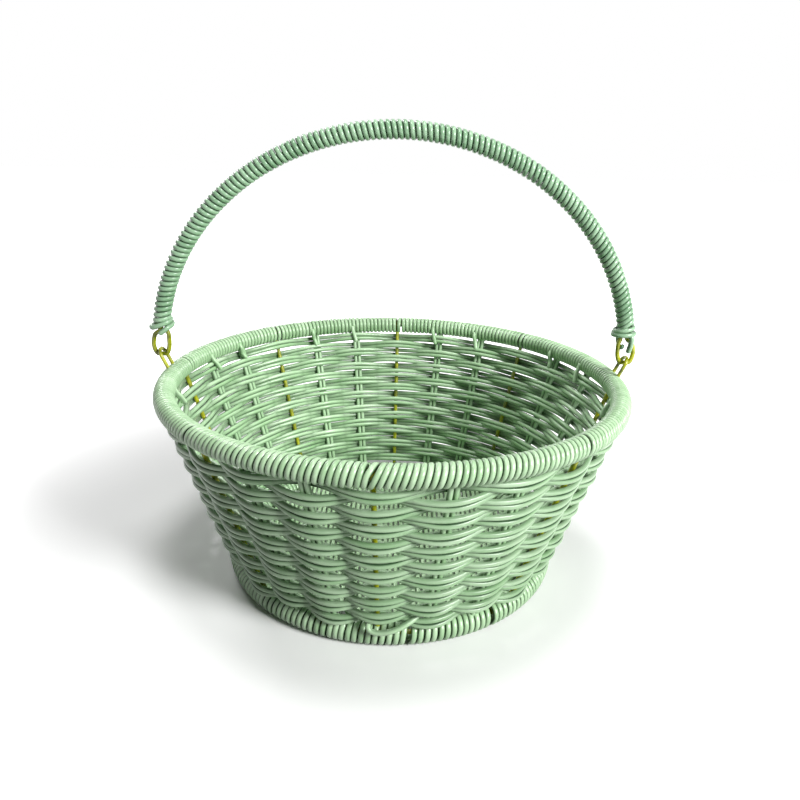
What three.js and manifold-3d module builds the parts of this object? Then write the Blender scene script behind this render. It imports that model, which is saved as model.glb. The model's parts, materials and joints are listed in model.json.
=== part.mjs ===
// A round hand basket of woven plastic strand on a lacquered wire frame, with a wrapped handle that swings.
// Millimetres, +Z up. The basket stands on z = 0, its axis is Z, and the handle's two pivots lie on a line
// along X.
import * as THREE from "three";
import { mergeVertices } from "three/addons/utils/BufferGeometryUtils.js";
import Module from "manifold-3d";

const wasm = await Module();
wasm.setup();

// Frame: two hoops and the wires between them
const rimRadius = 119.6; // centre line of the rim hoop
const rimHeight = 105; // centre line of the rim hoop above the ground
const baseRadius = 87.4; // centre line of the base hoop
const frameWire = 2.4; // wire diameter of hoops, ribs, floor wires and handle
const ribAngles = [-1.5, 44.5, 89, 132, 174, 225, 266.5, 313.5]; // degrees round the basket
const stakesPerBay = 2; // strand stakes between two neighbouring ribs
const floorWireCount = 3;
const floorWireSpacing = 44;

// Strand: everything woven and wrapped
const rimWrapRadius = 5.4; // outside of the wrapping on the rim
const baseWrapRadius = 6; // outside of the wrapping on the base hoop
const strandThickness = 2.6; // the strand is nearly round
const strandWidth = 2.6;
const strandGroove = 0.44; // depth of the groove between two strands that lie side by side
const rowHeight = 4.7; // a row is two strands, one above the other
const rowGap = 0.3; // between two rows, along the slope of the wall
const rowMargin = 1.3; // between a wrapping and the row beside it
const floorSlot = 0.4; // between two runs of the floor strand

// Handle and its pivots
const handleRise = 115.4; // from the pivots to the top of the wire
const handleWrapRadius = 4.9;
const handleWrapStart = 19; // height above the pivots where the wrapping begins
const eyeHalfWidth = 4.2;
const eyeBendHeight = 6.2; // above the pivot, where an eye is widest
const eyeLevel = 1.75; // half of the level stretch at the bottom of an eye
const knotHeight = 4.7;
const knotRadius = 7;
const loopWire = 2;
const loopHeight = 15.6; // from the hoop's centre to the top of the loop's centre line
const loopHalfWidth = 4; // between the centre lines of its legs, halved
const loopLean = 24; // degrees outward from upright

const clearance = 0.3; // between pieces that touch
const boreClearance = 0.4; // round a wire inside its wrapping
const pivotPlay = 0.9; // between an eye and its loop, so that the handle swings

// Fineness of the faceting
const rimSegments = 48;
const baseSegments = 40;
const handleSegments = 36;
const wireSides = 6;
const wrapSides = 12;
const loopBendSides = 8;
const eyeBendSides = 3;

// Sizes that follow from those above
const wireRadius = frameWire / 2;
const loopRadius = loopWire / 2;
const holeRadius = roundFlats(wireRadius + boreClearance, wireSides);
const baseHeight = baseWrapRadius;
const wallRise = rimHeight - baseHeight;
const wallSpread = rimRadius - baseRadius;
const wallLength = Math.hypot(wallRise, wallSpread);
const wallLean = Math.atan2(wallSpread, wallRise);
const spokeThickness = Math.max(strandThickness, frameWire);
const rimWrapCorner = roundFlats(rimWrapRadius, wrapSides);
const baseWrapCorner = roundFlats(baseWrapRadius, wrapSides);
const highestRow = wallLength - rimWrapCorner - rowMargin - rowHeight / 2;
const lowestRow = baseWrapCorner + rowMargin + rowHeight / 2;
const rowCount = Math.round((highestRow - lowestRow) / (rowHeight + rowGap)) + 1;
const rowPitch = (highestRow - lowestRow) / (rowCount - 1);
const weaveOffset = (spokeThickness + strandThickness) / 2 + clearance;
const stakeWidth = 2 * strandWidth;
const restOnSpoke = stakeWidth / 2 + 2 * clearance;
const loopTilt = THREE.MathUtils.degToRad(loopLean);
const pivotOnLoop = loopHeight - loopRadius - pivotPlay - wireRadius;
const pivotHeight = rimHeight + pivotOnLoop * Math.cos(loopTilt);
const handleHalfSpan = rimRadius + ((pivotOnLoop + loopHeight) / 2) * Math.sin(loopTilt);
const knotStart = handleWrapStart - clearance - knotHeight;

const green = new THREE.MeshStandardMaterial({ color: 0xa9d3a5, roughness: 0.45, metalness: 0 });
const paleGreen = new THREE.MeshStandardMaterial({ color: 0xbfe3ba, roughness: 0.45, metalness: 0 });
const yellowLacquer = new THREE.MeshStandardMaterial({ color: 0xb9be1f, roughness: 0.3, metalness: 0.2 });

const basket = new THREE.Group();

// Adds one named piece to a group.
function addPiece(name, geometry, material, parent = basket) {
  const mesh = new THREE.Mesh(geometry, material);
  mesh.name = name;
  parent.add(mesh);
}

// A closed geometry as a solid that can be cut and joined.
function solidFrom(geometry) {
  const bare = new THREE.BufferGeometry();
  bare.setAttribute("position", geometry.getAttribute("position").clone());
  bare.setIndex(geometry.index ? geometry.index.clone() : null);
  const merged = mergeVertices(bare, 1e-4);
  return new wasm.Manifold(
    new wasm.Mesh({
      numProp: 3,
      vertProperties: new Float32Array(merged.getAttribute("position").array),
      triVerts: new Uint32Array(merged.index.array),
    }),
  );
}

// A solid as a geometry that a mesh can show.
function geometryFrom(solid) {
  const mesh = solid.getMesh();
  const geometry = new THREE.BufferGeometry();
  geometry.setAttribute("position", new THREE.BufferAttribute(mesh.vertProperties, 3));
  geometry.setIndex(new THREE.BufferAttribute(mesh.triVerts, 1));
  geometry.computeVertexNormals();
  return geometry;
}

// A regular polygon with its corners on a circle, one flat facing straight down.
function polygonPoints(radius, sides, centreX = 0, centreY = 0) {
  return Array.from({ length: sides }, (_, i) => {
    const angle = -Math.PI / 2 + ((i + 0.5) * 2 * Math.PI) / sides;
    return new THREE.Vector2(centreX + radius * Math.cos(angle), centreY + radius * Math.sin(angle));
  });
}

// The corner radius of a polygon whose flats lie on a circle.
function roundFlats(radius, sides) {
  return radius / Math.cos(Math.PI / sides);
}

function roundShape(radius, sides) {
  return new THREE.Shape(polygonPoints(radius, sides));
}

// A closed profile of (radius, height) points turned about Z.
function turned(profile, segments) {
  return new THREE.LatheGeometry([...profile, profile[0]], segments).rotateX(Math.PI / 2);
}

// A round section swept through the given points, with one step from each point to the next.
function sweptThrough(points, shape) {
  const path = new THREE.CatmullRomCurve3(points, false, "centripetal");
  path.getUtoTmapping = (u) => u;
  return new THREE.ExtrudeGeometry(shape, {
    steps: points.length - 1,
    extrudePath: path,
    bevelEnabled: false,
  });
}

// The angle in degrees of each upright: ribs at their own angles, and stakes evenly spaced between them.
function uprights() {
  const perBay = stakesPerBay + 1;
  return Array.from({ length: ribAngles.length * perBay }, (_, i) => {
    const rib = Math.floor(i / perBay);
    const from = ribAngles[rib];
    const to = rib + 1 < ribAngles.length ? ribAngles[rib + 1] : ribAngles[0] + 360;
    return { angle: from + ((to - from) * (i % perBay)) / perBay, isRib: i % perBay === 0 };
  });
}

// A group at the base hoop that is turned to an upright's angle and leans as the wall does, so that
// local Z runs up the wall from hoop to hoop.
function wallGroup(angleDegrees) {
  const turn = new THREE.Group();
  turn.rotation.z = THREE.MathUtils.degToRad(angleDegrees);
  const lean = new THREE.Group();
  lean.position.set(baseRadius, 0, baseHeight);
  lean.rotation.y = wallLean;
  turn.add(lean);
  basket.add(turn);
  return lean;
}

// A straight wire along local Z from one height to another.
function wireGeometry(radius, from, to) {
  return new THREE.CylinderGeometry(radius, radius, to - from, wireSides)
    .rotateX(Math.PI / 2)
    .translate(0, 0, (from + to) / 2);
}

// A cutter that follows a piece: the geometry in the place of the group that holds it.
function placedSolid(geometry, group) {
  group.updateWorldMatrix(true, false);
  return solidFrom(geometry.clone().applyMatrix4(group.matrixWorld));
}

// Ribs run from hoop to hoop and pass through both wrappings, which get a hole for each.
const spokes = uprights();
const rimCutters = [];
const baseCutters = [];

function addRib(name, angle) {
  const group = wallGroup(angle);
  const end = wireRadius + clearance;
  addPiece(name, wireGeometry(wireRadius, end, wallLength - end), yellowLacquer, group);
  const aboveBaseWrap = 2 * baseWrapRadius;
  const belowRimWrap = wallLength - 2 * rimWrapRadius;
  baseCutters.push(placedSolid(wireGeometry(holeRadius, 0, aboveBaseWrap), group));
  rimCutters.push(placedSolid(wireGeometry(holeRadius, belowRimWrap, wallLength), group));
}

// A stake is two strands side by side, from the base wrapping to the rim wrapping.
function addStake(name, angle) {
  const half = strandThickness / 2;
  const groove = half - strandGroove;
  const flat = strandWidth / 4; // each strand is flat over half of its width
  const side = strandWidth;
  const outline = [
    [side, 0],
    [side - flat, half],
    [flat, half],
    [0, groove],
    [-flat, half],
    [flat - side, half],
    [-side, 0],
    [flat - side, -half],
    [-flat, -half],
    [0, -groove],
    [flat, -half],
    [side - flat, -half],
  ];
  const from = baseWrapCorner + clearance;
  const to = wallLength - rimWrapCorner - clearance;
  const shape = new THREE.Shape(outline.map(([x, y]) => new THREE.Vector2(x, y)));
  const geometry = new THREE.ExtrudeGeometry(shape, { depth: to - from, bevelEnabled: false })
    .translate(0, 0, from)
    .rotateZ(Math.PI / 2);
  addPiece(name, geometry, green, wallGroup(angle));
}

spokes.forEach((spoke, i) => {
  const count = spokes.slice(0, i + 1).filter((s) => s.isRib === spoke.isRib).length;
  const label = String(count).padStart(2, "0");
  if (spoke.isRib) addRib("wire_rib_" + label, spoke.angle);
  else addStake("strand_stake_" + label, spoke.angle);
});

// A woven row: a ring of flat section that passes outside one upright and inside the next. The ring is
// turned with two steps for each upright, and its corners are then moved to both sides of that upright.
function addRow(index) {
  const upTheWall = highestRow - index * rowPitch;
  const up = new THREE.Vector2(Math.sin(wallLean), Math.cos(wallLean));
  const out = new THREE.Vector2(up.y, -up.x);
  const centre = new THREE.Vector2(baseRadius, baseHeight).addScaledVector(up, upTheWall);
  const corners = [
    [-1, -1],
    [1, -1],
    [1, 1],
    [-1, 1],
    [-1, -1],
  ].map(([side, rise]) =>
    centre
      .clone()
      .addScaledVector(out, (side * strandThickness) / 2)
      .addScaledVector(up, (rise * rowHeight) / 2),
  );
  const geometry = new THREE.LatheGeometry(corners, 2 * spokes.length);
  const position = geometry.getAttribute("position");
  for (let i = 0; i < position.count; i += 1) {
    const step = Math.floor(i / corners.length) % (2 * spokes.length);
    const spoke = Math.floor(step / 2);
    const side = (spoke + index) % 2 === 0 ? 1 : -1;
    const corner = corners[i % corners.length].clone().addScaledVector(out, side * weaveOffset);
    const beside = ((step % 2) * 2 - 1) * (restOnSpoke / centre.x);
    const angle = THREE.MathUtils.degToRad(spokes[spoke].angle) + beside;
    position.setXYZ(i, corner.x * Math.cos(angle), corner.x * Math.sin(angle), corner.y);
  }
  const label = String(index + 1).padStart(2, "0");
  addPiece("woven_row_" + label, geometry, index % 2 === 0 ? green : paleGreen);
}

for (let index = 0; index < rowCount; index += 1) addRow(index);

// Rim loops: staples that stand on the rim hoop at both ends of the X axis, where the handle hooks in.
function addRimLoop(name, turn) {
  const side = new THREE.Group();
  side.rotation.z = turn;
  const lean = new THREE.Group();
  lean.position.set(rimRadius, 0, rimHeight);
  lean.rotation.y = loopTilt;
  side.add(lean);
  basket.add(side);
  const foot = wireRadius + clearance;
  const bendCentre = loopHeight - loopHalfWidth;
  const bend = Array.from({ length: loopBendSides + 1 }, (_, i) => {
    const angle = Math.PI - (i * Math.PI) / loopBendSides;
    return new THREE.Vector3(
      0,
      loopHalfWidth * Math.cos(angle),
      bendCentre + loopHalfWidth * Math.sin(angle),
    );
  });
  const points = [
    new THREE.Vector3(0, -loopHalfWidth, foot),
    ...bend,
    new THREE.Vector3(0, loopHalfWidth, foot),
  ];
  addPiece(name, sweptThrough(points, roundShape(loopRadius, wireSides)), yellowLacquer, lean);
  const legHole = roundFlats(loopRadius + boreClearance, wireSides);
  for (const legSide of [-1, 1]) {
    const hole = wireGeometry(legHole, 0, 2 * rimWrapRadius);
    rimCutters.push(placedSolid(hole.translate(0, legSide * loopHalfWidth, 0), lean));
  }
}

addRimLoop("rim_loop_right", 0);
addRimLoop("rim_loop_left", Math.PI);

// Hoops, each a plain ring of wire
function hoopProfile(radius, height, tube, sides) {
  return polygonPoints(tube, sides, radius, height);
}
addPiece(
  "rim_hoop",
  turned(hoopProfile(rimRadius, rimHeight, wireRadius, wireSides), rimSegments),
  yellowLacquer,
);
addPiece(
  "base_hoop",
  turned(hoopProfile(baseRadius, baseHeight, wireRadius, wireSides), baseSegments),
  yellowLacquer,
);

// Floor wires run left to right between two sides of the base hoop.
function addFloorWire(name, y) {
  const reach = Math.sqrt(baseRadius ** 2 - y ** 2);
  const slant = Math.asin(Math.abs(y) / baseRadius);
  const end = (wireRadius + clearance) / Math.cos(slant) + wireRadius * Math.tan(slant);
  const group = new THREE.Group();
  group.position.set(0, y, baseHeight);
  group.rotation.y = Math.PI / 2;
  basket.add(group);
  addPiece(name, wireGeometry(wireRadius, end - reach, reach - end), yellowLacquer, group);
  baseCutters.push(placedSolid(wireGeometry(holeRadius, -reach, reach), group));
}

for (let index = 0; index < floorWireCount; index += 1)
  addFloorWire("floor_wire_" + (index + 1), (index - (floorWireCount - 1) / 2) * floorWireSpacing);

// Wrappings: a ring of strand turns and bundled stake ends round each hoop, open inside where the wire
// lies, with holes for the wires that reach the hoop.
function addWrap(name, radius, height, wrapRadius, segments, cutters) {
  const outside = solidFrom(turned(hoopProfile(radius, height, wrapRadius, wrapSides), segments));
  const bore = solidFrom(turned(hoopProfile(radius, height, holeRadius, wireSides), segments));
  const cut = cutters.reduce((solid, cutter) => solid.subtract(cutter), outside.subtract(bore));
  addPiece(name, geometryFrom(cut), paleGreen);
}

addWrap("rim_wrap", rimRadius, rimHeight, rimWrapCorner, rimSegments, rimCutters);
addWrap("base_wrap", baseRadius, baseHeight, baseWrapCorner, baseSegments, baseCutters);

// Floor: one long strand laid to and fro from front to back over the floor wires. A run ends inside the
// round of the base, and a turn lies where the shorter of its two runs ends.
function floorCorners() {
  const pitch = strandWidth + floorSlot;
  const reach = baseRadius - baseWrapRadius - clearance - strandWidth / Math.SQRT2;
  const shortestRun = 4 * strandWidth;
  const last = Math.floor(Math.sqrt(reach ** 2 - (shortestRun / 2) ** 2) / pitch);
  const endOf = (run) => Math.sqrt(reach ** 2 - (run * pitch) ** 2);
  const points = [new THREE.Vector2(-last * pitch, -endOf(last))];
  for (let run = -last; run < last; run += 1) {
    const side = (run + last) % 2 === 0 ? 1 : -1;
    const y = side * Math.min(endOf(run), endOf(run + 1));
    points.push(new THREE.Vector2(run * pitch, y), new THREE.Vector2((run + 1) * pitch, y));
  }
  points.push(new THREE.Vector2(last * pitch, endOf(last)));
  return points;
}

// The outline of a band of even width along a line that has square corners only.
function bandOutline(points, width) {
  const left = [];
  const right = [];
  points.forEach((point, i) => {
    const before = point.clone().sub(points[Math.max(i - 1, 0)]).normalize();
    const after = points[Math.min(i + 1, points.length - 1)].clone().sub(point).normalize();
    const aside = new THREE.Vector2(-before.y - after.y, before.x + after.x).multiplyScalar(width / 2);
    left.push(point.clone().add(aside));
    right.unshift(point.clone().sub(aside));
  });
  return new THREE.Shape([...left, ...right]);
}

// The strand is drawn flat, and a bevel on its upper and lower edges makes it nearly round.
function addFloor() {
  const bevel = strandThickness / 4;
  const geometry = new THREE.ExtrudeGeometry(bandOutline(floorCorners(), strandWidth), {
    depth: strandThickness - 2 * bevel,
    bevelThickness: bevel,
    bevelSize: bevel,
    bevelOffset: -bevel,
    bevelSegments: 1,
  });
  const under = baseHeight + wireRadius + clearance;
  addPiece("floor_strand", geometry.translate(0, 0, under + bevel), paleGreen);
}

addFloor();

// Handle: the wire's centre line is half an ellipse that stands on the pivots.
function handlePoint(angle) {
  return new THREE.Vector3(
    handleHalfSpan * Math.cos(angle),
    0,
    pivotHeight + handleRise * Math.sin(angle),
  );
}

// Distance of the handle's line from the basket's axis at a height above the pivots
function handleReach(height) {
  return handleHalfSpan * Math.sqrt(1 - (height / handleRise) ** 2);
}

const wrapAngle = Math.asin(handleWrapStart / handleRise);
const wrapPoints = Array.from({ length: handleSegments + 1 }, (_, i) =>
  handlePoint(wrapAngle + (i * (Math.PI - 2 * wrapAngle)) / handleSegments),
);

// One eye, from the wire's tucked end down, round the bend and up to the wrapping. Each point is an offset
// outward from the handle's line and a height above the pivot. The bend is level at the bottom, with a
// quarter of an oval on each side.
function eyePoints(side) {
  const beside = frameWire + clearance;
  const neck = knotStart - wireRadius;
  const quarter = Array.from({ length: eyeBendSides + 1 }, (_, i) => {
    const angle = (i * Math.PI) / 2 / eyeBendSides;
    const across = eyeLevel + (eyeHalfWidth - eyeLevel) * Math.cos(angle);
    return [across, eyeBendHeight * (1 - Math.sin(angle))];
  });
  const rounds = [
    [-beside, handleWrapStart - clearance - wireRadius],
    [-beside, neck],
    ...quarter.map(([across, height]) => [-across, height]),
    ...quarter.toReversed(),
    [0, neck],
    [0, knotStart + knotHeight / 2],
  ];
  return rounds.map(
    ([offset, height]) =>
      new THREE.Vector3(side * (handleReach(height) + offset), 0, pivotHeight + height),
  );
}

addPiece(
  "handle_wire",
  sweptThrough(
    [...eyePoints(1), ...wrapPoints, ...eyePoints(-1).reverse()],
    roundShape(wireRadius, wireSides),
  ),
  yellowLacquer,
);

const sleeve = roundShape(handleWrapRadius, wrapSides);
sleeve.holes.push(new THREE.Path(polygonPoints(holeRadius, wireSides)));
addPiece("handle_wrap", sweptThrough(wrapPoints, sleeve), paleGreen);

// Knots: the last turn of strand at each end of the handle, round the wire and its tucked end.
function addKnot(name, side) {
  const middle = knotStart + knotHeight / 2;
  const rise = knotHeight / 2;
  const lean = Math.atan2(handleReach(middle - rise) - handleReach(middle + rise), knotHeight);
  const group = new THREE.Group();
  group.position.set(side * handleReach(middle), 0, pivotHeight + middle);
  group.rotation.y = -side * lean;
  basket.add(group);
  const halfPair = (frameWire + clearance) / 2;
  const ring = roundShape(knotRadius, wrapSides);
  const hole = roundFlats(halfPair + wireRadius + boreClearance, wrapSides);
  ring.holes.push(new THREE.Path(polygonPoints(hole, wrapSides, -side * halfPair, 0)));
  const geometry = new THREE.ExtrudeGeometry(ring, { depth: knotHeight, bevelEnabled: false });
  addPiece(name, geometry.translate(0, 0, -rise), green, group);
}

addKnot("handle_knot_right", 1);
addKnot("handle_knot_left", -1);

export default basket;
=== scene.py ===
# %% [markdown]
# # A woven hand basket
#
# The basket is made of two things only: lacquered wire, which is the frame, and one kind of round plastic
# strand, which is woven, wrapped and laid round that frame. So nearly every piece below is the same shape, a
# round section carried along a line, and the lesson is in the lines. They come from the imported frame: this
# script measures its wires and hoops, and weaves round them.

# %% Load the frame
import json
import math

import bpy
import numpy as np
from mathutils import Matrix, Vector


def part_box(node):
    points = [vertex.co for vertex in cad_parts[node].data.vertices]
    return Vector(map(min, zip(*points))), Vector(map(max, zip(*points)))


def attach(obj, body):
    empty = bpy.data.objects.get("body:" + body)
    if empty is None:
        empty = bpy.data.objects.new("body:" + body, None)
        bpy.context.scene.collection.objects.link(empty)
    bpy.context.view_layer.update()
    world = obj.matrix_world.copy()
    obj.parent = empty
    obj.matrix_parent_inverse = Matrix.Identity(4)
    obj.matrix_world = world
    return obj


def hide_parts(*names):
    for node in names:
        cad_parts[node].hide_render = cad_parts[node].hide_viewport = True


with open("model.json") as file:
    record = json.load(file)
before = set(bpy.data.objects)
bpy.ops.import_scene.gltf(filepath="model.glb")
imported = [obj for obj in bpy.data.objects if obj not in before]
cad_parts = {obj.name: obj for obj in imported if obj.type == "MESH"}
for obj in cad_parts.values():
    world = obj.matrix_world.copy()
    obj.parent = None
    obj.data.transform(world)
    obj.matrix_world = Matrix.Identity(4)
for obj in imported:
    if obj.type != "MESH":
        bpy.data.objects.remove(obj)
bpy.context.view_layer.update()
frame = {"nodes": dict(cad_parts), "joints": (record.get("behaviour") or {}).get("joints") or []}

# %% [markdown]
# ## Measure the frame
#
# Each hoop is a ring round the Z axis. Its height is the middle of its box, and its radius is half of the
# box's width less the thickness of the ring. The ribs and stakes lean outwards between the two hoops, and the
# middle of a rib's box gives the direction in which it stands. Measured this way, the looks follow the frame
# when a size in it changes.

# %% Sizes from the frame
def ring_size(node):
    """Radius of the ring's centre line, its height and the radius of its round section, from its box."""
    low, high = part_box(node)
    section = (high.z - low.z) / 2
    return (high.x - low.x) / 2 - section, (high.z + low.z) / 2, section


rim_radius, rim_height, rim_wrap_radius = ring_size("rim_wrap")
base_radius, base_height, base_wrap_radius = ring_size("base_wrap")
wall_lean = math.atan2(rim_radius - base_radius, rim_height - base_height)
wall_length = math.hypot(rim_radius - base_radius, rim_height - base_height)
print(f"rim radius {rim_radius:.4f}, base radius {base_radius:.4f}")
print(f"the wall leans by {math.degrees(wall_lean):.1f} degrees")

# %% [markdown]
# How thick the wire and one strand are can't be measured on the frame, where a row is one solid for two
# strands and their whole swing. These sizes come from the photograph, by the camera that was fitted to it.

# %% Sizes of the wire and the strand
mm = 0.001
wire_thickness = 2.4 * mm
loop_wire_thickness = 2 * mm
strand_thickness = 2.6 * mm
print("strand", strand_thickness, "m thick, wire", wire_thickness, "m")

# %% [markdown]
# The uprights are numbered round from the right: a rib, two stakes, the next rib. On a hand-made basket they
# stand unevenly, so their angles are measured and not found by dividing the circle. They are made to grow
# without a jump, so that a place between two uprights can be interpolated.

# %% Where the uprights stand
rib_count = sum(name.startswith("wire_rib_") for name in frame["nodes"])
stake_count = sum(name.startswith("strand_stake_") for name in frame["nodes"])
row_count = sum(name.startswith("woven_row_") for name in frame["nodes"])
stakes_per_bay = stake_count // rib_count
front_rib = 6  # counted from 0, which is the rib at the right


def direction_of(node):
    """Angle round Z of the middle of a node's box."""
    low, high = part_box(node)
    return math.atan2(low.y + high.y, low.x + high.x)


upright_names = []
for rib in range(rib_count):
    upright_names.append(f"wire_rib_{rib + 1:02d}")
    for stake in range(stakes_per_bay):
        upright_names.append(f"strand_stake_{rib * stakes_per_bay + stake + 1:02d}")
upright_count = len(upright_names)
upright_angles = np.unwrap([direction_of(name) for name in upright_names])
rib_angles = upright_angles[::stakes_per_bay + 1]
closed_angles = np.append(upright_angles, upright_angles[0] + 2 * math.pi)
print(upright_count, "uprights, the front rib at", round(math.degrees(rib_angles[front_rib]), 1), "degrees")

# %% [markdown]
# ## A strand is a section carried along a line
#
# Blender's curve objects can bevel a line into a tube, but a curve's section turns as it likes, and the weave
# needs to know which side of the strand faces outwards. So a strand is worked out here as a grid of points.
# At each point of the line there are three directions: along the line, the way that the strand faces, and
# across it. The section is an oval in the last two. numpy does this for the whole grid at once.

# %% A surface from a line
def unit(vectors):
    """Each vector divided by its own length."""
    return vectors / np.linalg.norm(vectors, axis=-1, keepdims=True)


def strand_surface(line, facing, thickness, width, sides, closed, squareness):
    """Grid of points: line point + facing * half thickness * cos(a) + across * half width * sin(a), where a
    goes once round the section and cos and sin are raised to 2 / squareness, which fills out the corners.
    Returns the grid and the distance along the line at each of its rows."""
    if closed:
        along = unit(np.roll(line, -1, axis=0) - np.roll(line, 1, axis=0))
        steps = np.linalg.norm(np.roll(line, -1, axis=0) - line, axis=1)
    else:
        along = unit(np.gradient(line, axis=0))
        steps = np.linalg.norm(np.diff(line, axis=0), axis=1)
    distance = np.concatenate([[0.0], np.cumsum(steps)])
    across = unit(np.cross(along, facing))
    outward = np.cross(across, along)
    angle = np.arange(sides) * 2 * math.pi / sides
    cosine = np.sign(np.cos(angle)) * np.abs(np.cos(angle)) ** (2 / squareness)
    sine = np.sign(np.sin(angle)) * np.abs(np.sin(angle)) ** (2 / squareness)
    thickness = np.broadcast_to(thickness, len(line))[:, None, None]
    width = np.broadcast_to(width, len(line))[:, None, None]
    grid = line[:, None, :] + outward[:, None, :] * (thickness / 2) * cosine[None, :, None]
    grid = grid + across[:, None, :] * (width / 2) * sine[None, :, None]
    return grid, distance


# %% [markdown]
# A cut end is not a flat disc: the knife rounds its edge a little. Two more rings at each end, each nearer to
# the middle, make that soft edge, and one face closes it. One object for each strand would make hundreds, so
# a bundle collects the strands of one piece, and puts their points and faces into a single mesh.

# %% Many strands in one mesh
edge_reach = 0.25  # how far the soft edge reaches past the line, as a share of the strand's thickness
edge_steps = np.array([1.0, 0.7])  # where its two rings lie, from the outermost, as shares of that reach
edge_sizes = np.array([0.6, 0.88])  # how large they are, as shares of the whole section
end_uv = 0.25  # the closing faces read one point of the pattern


class Bundle:
    """Collects strand surfaces and puts them into one mesh object. Its UV map holds the distance along the
    strand in metres, and the share of the way round the section. The attribute tone holds one number for each
    strand or turn, from -1 to 1, and the material makes it a slightly different green. The attribute shade,
    from 0 to 1, is painted shade: it says how deep in a groove or behind other strands a point lies, and the
    material darkens the point by that much."""

    def __init__(self):
        self.points, self.faces, self.caps, self.uvs, self.cap_uvs = [], [], [], [], []
        self.tones, self.shades = [], []
        self.count = 0

    def add(self, grid, distance, closed, tone, shade):
        """Adds one grid. Its faces join each row of points to the next, and go once round the section."""
        rows, sides = grid.shape[:2]
        spans = rows if closed else rows - 1
        row = np.arange(spans)[:, None]
        side = np.arange(sides)[None, :]
        next_row = (row + 1) % rows
        next_side = (side + 1) % sides
        corners = [row * sides + side, row * sides + next_side, next_row * sides + next_side]
        corners.append(next_row * sides + side)
        self.faces.append(np.stack(corners, axis=-1).reshape(-1, 4) + self.count)
        here, there = distance[row], distance[row + 1]
        u = np.stack(np.broadcast_arrays(here, here, there, there), -1)
        v = np.stack(np.broadcast_arrays(side, side + 1, side + 1, side), -1) / sides
        self.uvs.append(np.stack(np.broadcast_arrays(u, v), axis=-1).reshape(-1, 2))
        if not closed:
            first = np.arange(sides)[::-1] + self.count
            last = np.arange(sides) + self.count + (rows - 1) * sides
            self.caps += [first, last]
            self.cap_uvs.append(np.full((2 * sides, 2), end_uv))
        self.points.append(grid.reshape(-1, 3))
        tone = np.broadcast_to(tone, rows)[:, None]
        self.tones.append(np.broadcast_to(tone, (rows, sides)).reshape(-1))
        self.shades.append(np.broadcast_to(shade, (rows, sides)).reshape(-1))
        self.count += rows * sides

    def add_strand(self, line, facing, thickness, width=None, sides=12, closed=False, tone=0.0, shade=0.0,
                   squareness=2.3):
        """A strand along a line. The ends of an open one are rounded by two smaller rings each. shade is one
        number, or one for each side of the section, or a grid of one row for each point of the line."""
        width = thickness if width is None else width
        shade = np.broadcast_to(shade, (len(line), sides))
        if closed:
            grid, distance = strand_surface(line, facing, thickness, width, sides, True, squareness)
            self.add(grid, distance, True, tone, shade)
            return
        reach = edge_reach * np.min(thickness) * edge_steps[:, None]
        start = line[0] + unit(line[0] - line[1]) * reach
        finish = line[-1] + unit(line[-1] - line[-2]) * reach[::-1]
        longer = np.concatenate([start, line, finish])
        nearest = np.clip(np.arange(len(longer)) - len(start), 0, len(line) - 1)
        share = np.concatenate([edge_sizes, np.ones(len(line)), edge_sizes[::-1]])
        facing = np.broadcast_to(facing, line.shape)[nearest]
        thickness = np.broadcast_to(thickness, len(line))[nearest] * share
        width = np.broadcast_to(width, len(line))[nearest] * share
        tone = np.broadcast_to(tone, len(line))[nearest]
        grid, distance = strand_surface(longer, facing, thickness, width, sides, False, squareness)
        self.add(grid, distance, False, tone, shade[nearest])

    def build(self, name, material):
        """Makes the mesh object, with its UV map and the attributes tone and shade."""
        points = np.concatenate(self.points)
        quads = np.concatenate(self.faces)
        sizes = np.array([4] * len(quads) + [len(cap) for cap in self.caps], dtype=np.int32)
        corners = np.concatenate([quads.reshape(-1), *self.caps]).astype(np.int32)
        starts = np.concatenate([[0], np.cumsum(sizes)[:-1]]).astype(np.int32)
        mesh = bpy.data.meshes.new(name)
        mesh.vertices.add(len(points))
        mesh.vertices.foreach_set("co", points.astype(np.float32).reshape(-1))
        mesh.loops.add(len(corners))
        mesh.loops.foreach_set("vertex_index", corners)
        mesh.polygons.add(len(sizes))
        mesh.polygons.foreach_set("loop_start", starts)
        mesh.polygons.foreach_set("use_smooth", np.ones(len(sizes), dtype=bool))
        uv = mesh.uv_layers.new(name="strand")
        uv.data.foreach_set("uv", np.concatenate([*self.uvs, *self.cap_uvs]).astype(np.float32).reshape(-1))
        for label, values in [("tone", self.tones), ("shade", self.shades)]:
            attribute = mesh.attributes.new(label, "FLOAT", "POINT")
            attribute.data.foreach_set("value", np.concatenate(values).astype(np.float32))
        mesh.update(calc_edges=True)
        mesh.validate()
        mesh.materials.append(material)
        piece = bpy.data.objects.new(name, mesh)
        bpy.context.scene.collection.objects.link(piece)
        return piece


def place_piece(bundle, name, stands_for, body, material):
    """Builds a bundle's mesh, lets it ride on its body, and hides the nodes of the frame it stands for."""
    piece = bundle.build(name, material)
    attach(piece, body)
    if stands_for:
        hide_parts(*stands_for)
    return len(piece.data.polygons)


# %% [markdown]
# Where two strands touch, the seam between them is nearly black in the photograph. The render's own shadow
# comes out paler there, so shade is painted into the mesh as well, on the flanks of each strand, and the
# material lays it on as a dark green painted shade.

# %% Shade in the seams
def flank_shade(sides, across, opposite, sharpness=5):
    """Shade for each side of a section: across * sin(a) to a power where the section points across the
    strand, and opposite times the same where it points the other way."""
    sine = np.sin(np.arange(sides) * 2 * math.pi / sides)
    return across * np.clip(sine, 0, 1) ** sharpness + opposite * np.clip(-sine, 0, 1) ** sharpness


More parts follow.
